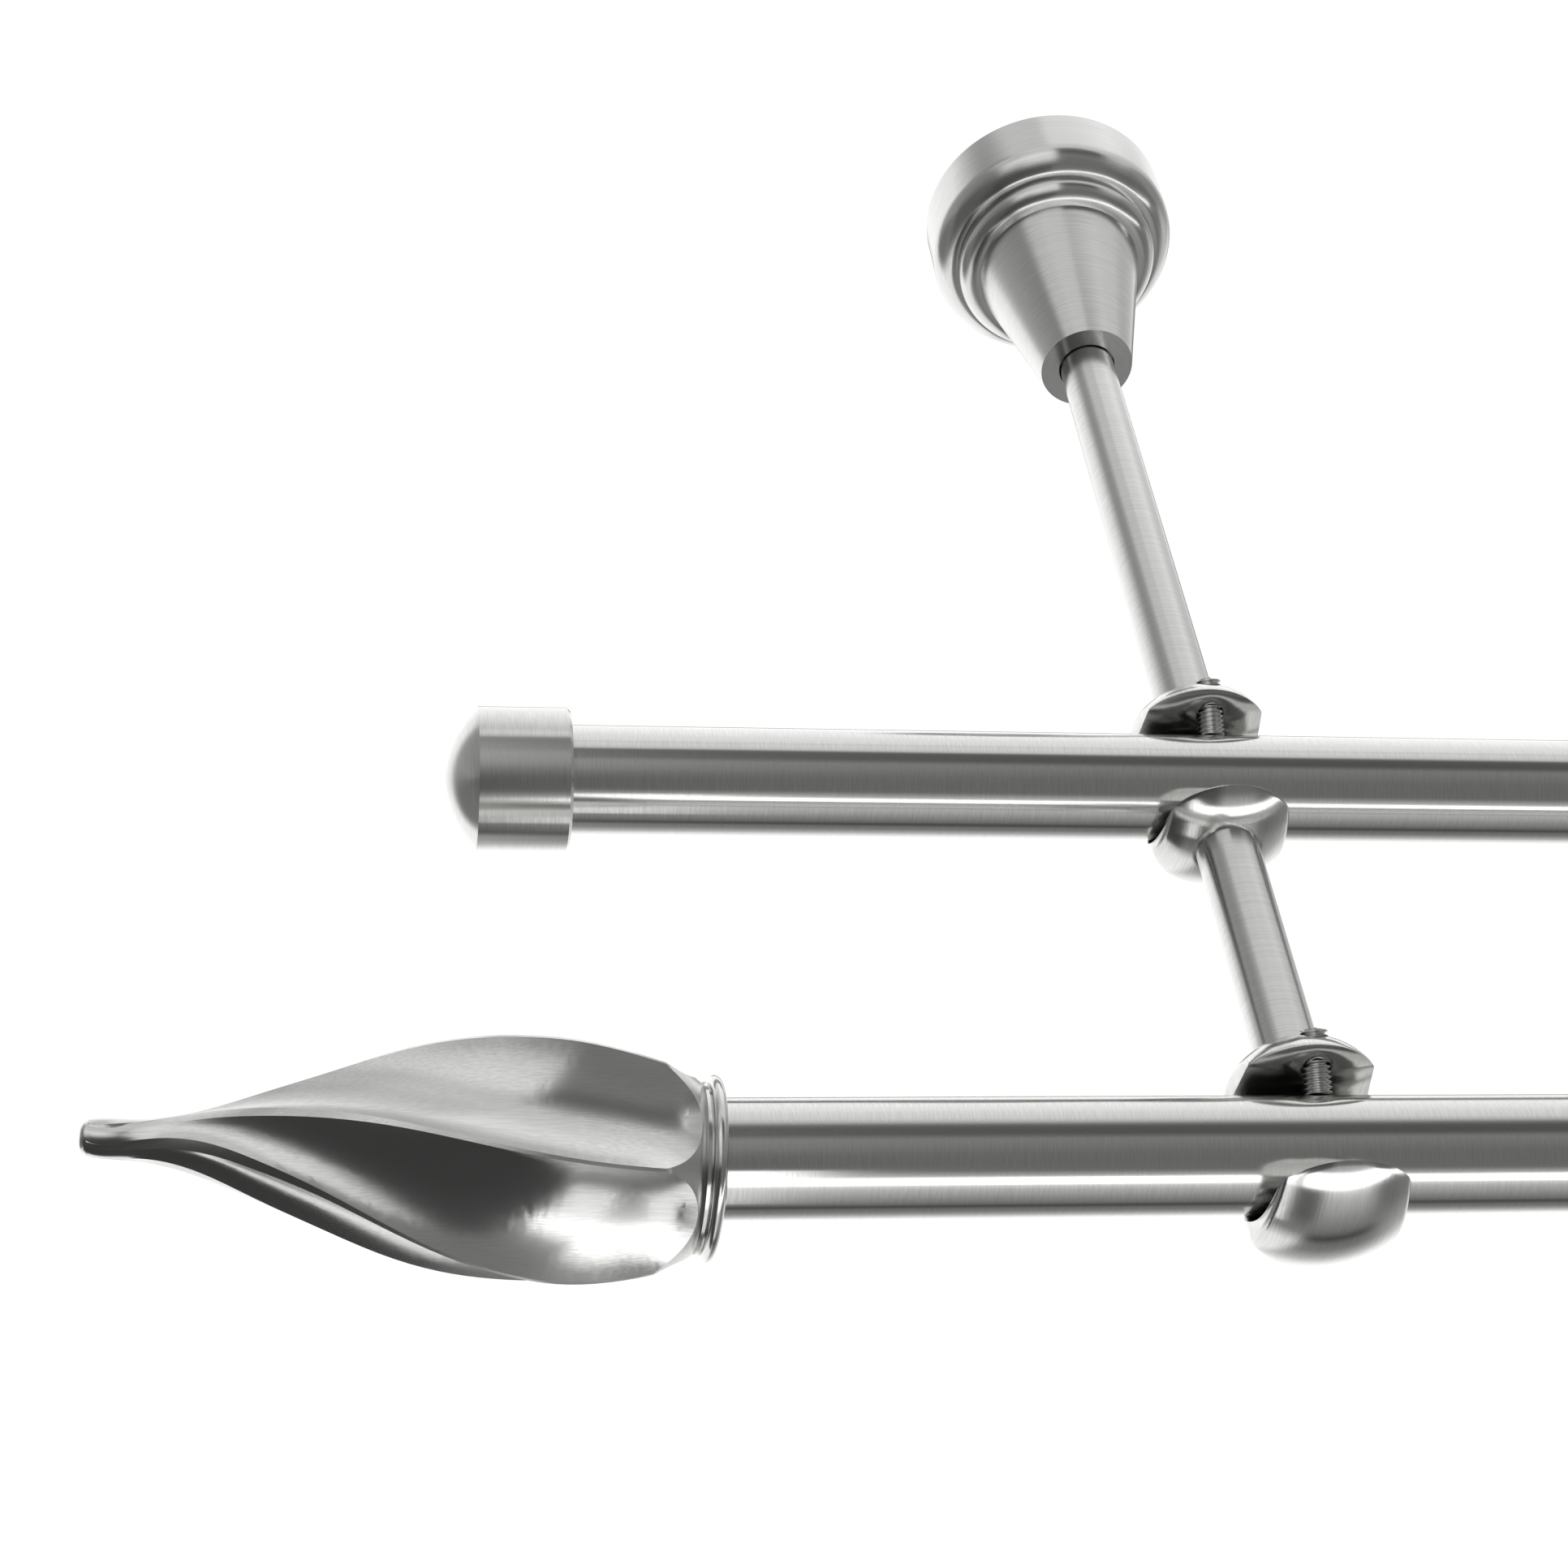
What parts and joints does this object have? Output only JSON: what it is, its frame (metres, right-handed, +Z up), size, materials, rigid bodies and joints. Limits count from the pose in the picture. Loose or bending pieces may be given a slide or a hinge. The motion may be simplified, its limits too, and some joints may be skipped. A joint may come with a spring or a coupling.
{
  "type": "double curtain pole",
  "caption": "Wall-fixed curtain pole set with a rear and a front round pole on stepped brackets, domed caps at the rear and twisted finials at the front.",
  "frame": {"origin": "centre of the left wall plate's back face, on the wall", "axes": "+Z up, +X along the poles to the right, +Y into the wall, so the arms point to -Y"},
  "size_m": [1.1133, 0.2408, 0.0442],
  "materials": {
    "pole_steel": "brushed lengthwise",
    "turned_steel": "turned and brushed round the axis",
    "cast_steel": "cast, ground and brushed lengthwise",
    "screw_steel": "bright threads",
    "plate_steel": "plain turned"
  },
  "bodies": {
    "root": {"left_wall_plate": "plate_steel", "left_arm_stud": "screw_steel", "left_rose": "turned_steel", "left_rose_screw": "screw_steel", "left_rear_arm": "turned_steel", "left_rear_cradle": "turned_steel", "left_rear_set_screw": "screw_steel", "left_front_arm": "turned_steel", "left_front_cradle": "turned_steel", "left_front_set_screw": "screw_steel", "left_end_cap": "turned_steel", "left_cap_screw": "screw_steel", "left_finial_collar": "turned_steel", "left_finial": "cast_steel", "left_finial_plug": "plate_steel", "right_wall_plate": "plate_steel", "right_arm_stud": "screw_steel", "right_rose": "turned_steel", "right_rose_screw": "screw_steel", "right_rear_arm": "turned_steel", "right_rear_cradle": "turned_steel", "right_rear_set_screw": "screw_steel", "right_front_arm": "turned_steel", "right_front_cradle": "turned_steel", "right_front_set_screw": "screw_steel", "right_end_cap": "turned_steel", "right_cap_screw": "screw_steel", "right_finial_collar": "turned_steel", "right_finial": "cast_steel", "right_finial_plug": "plate_steel", "rear_pole": "pole_steel", "front_pole": "pole_steel"}
  },
  "joints": []
}
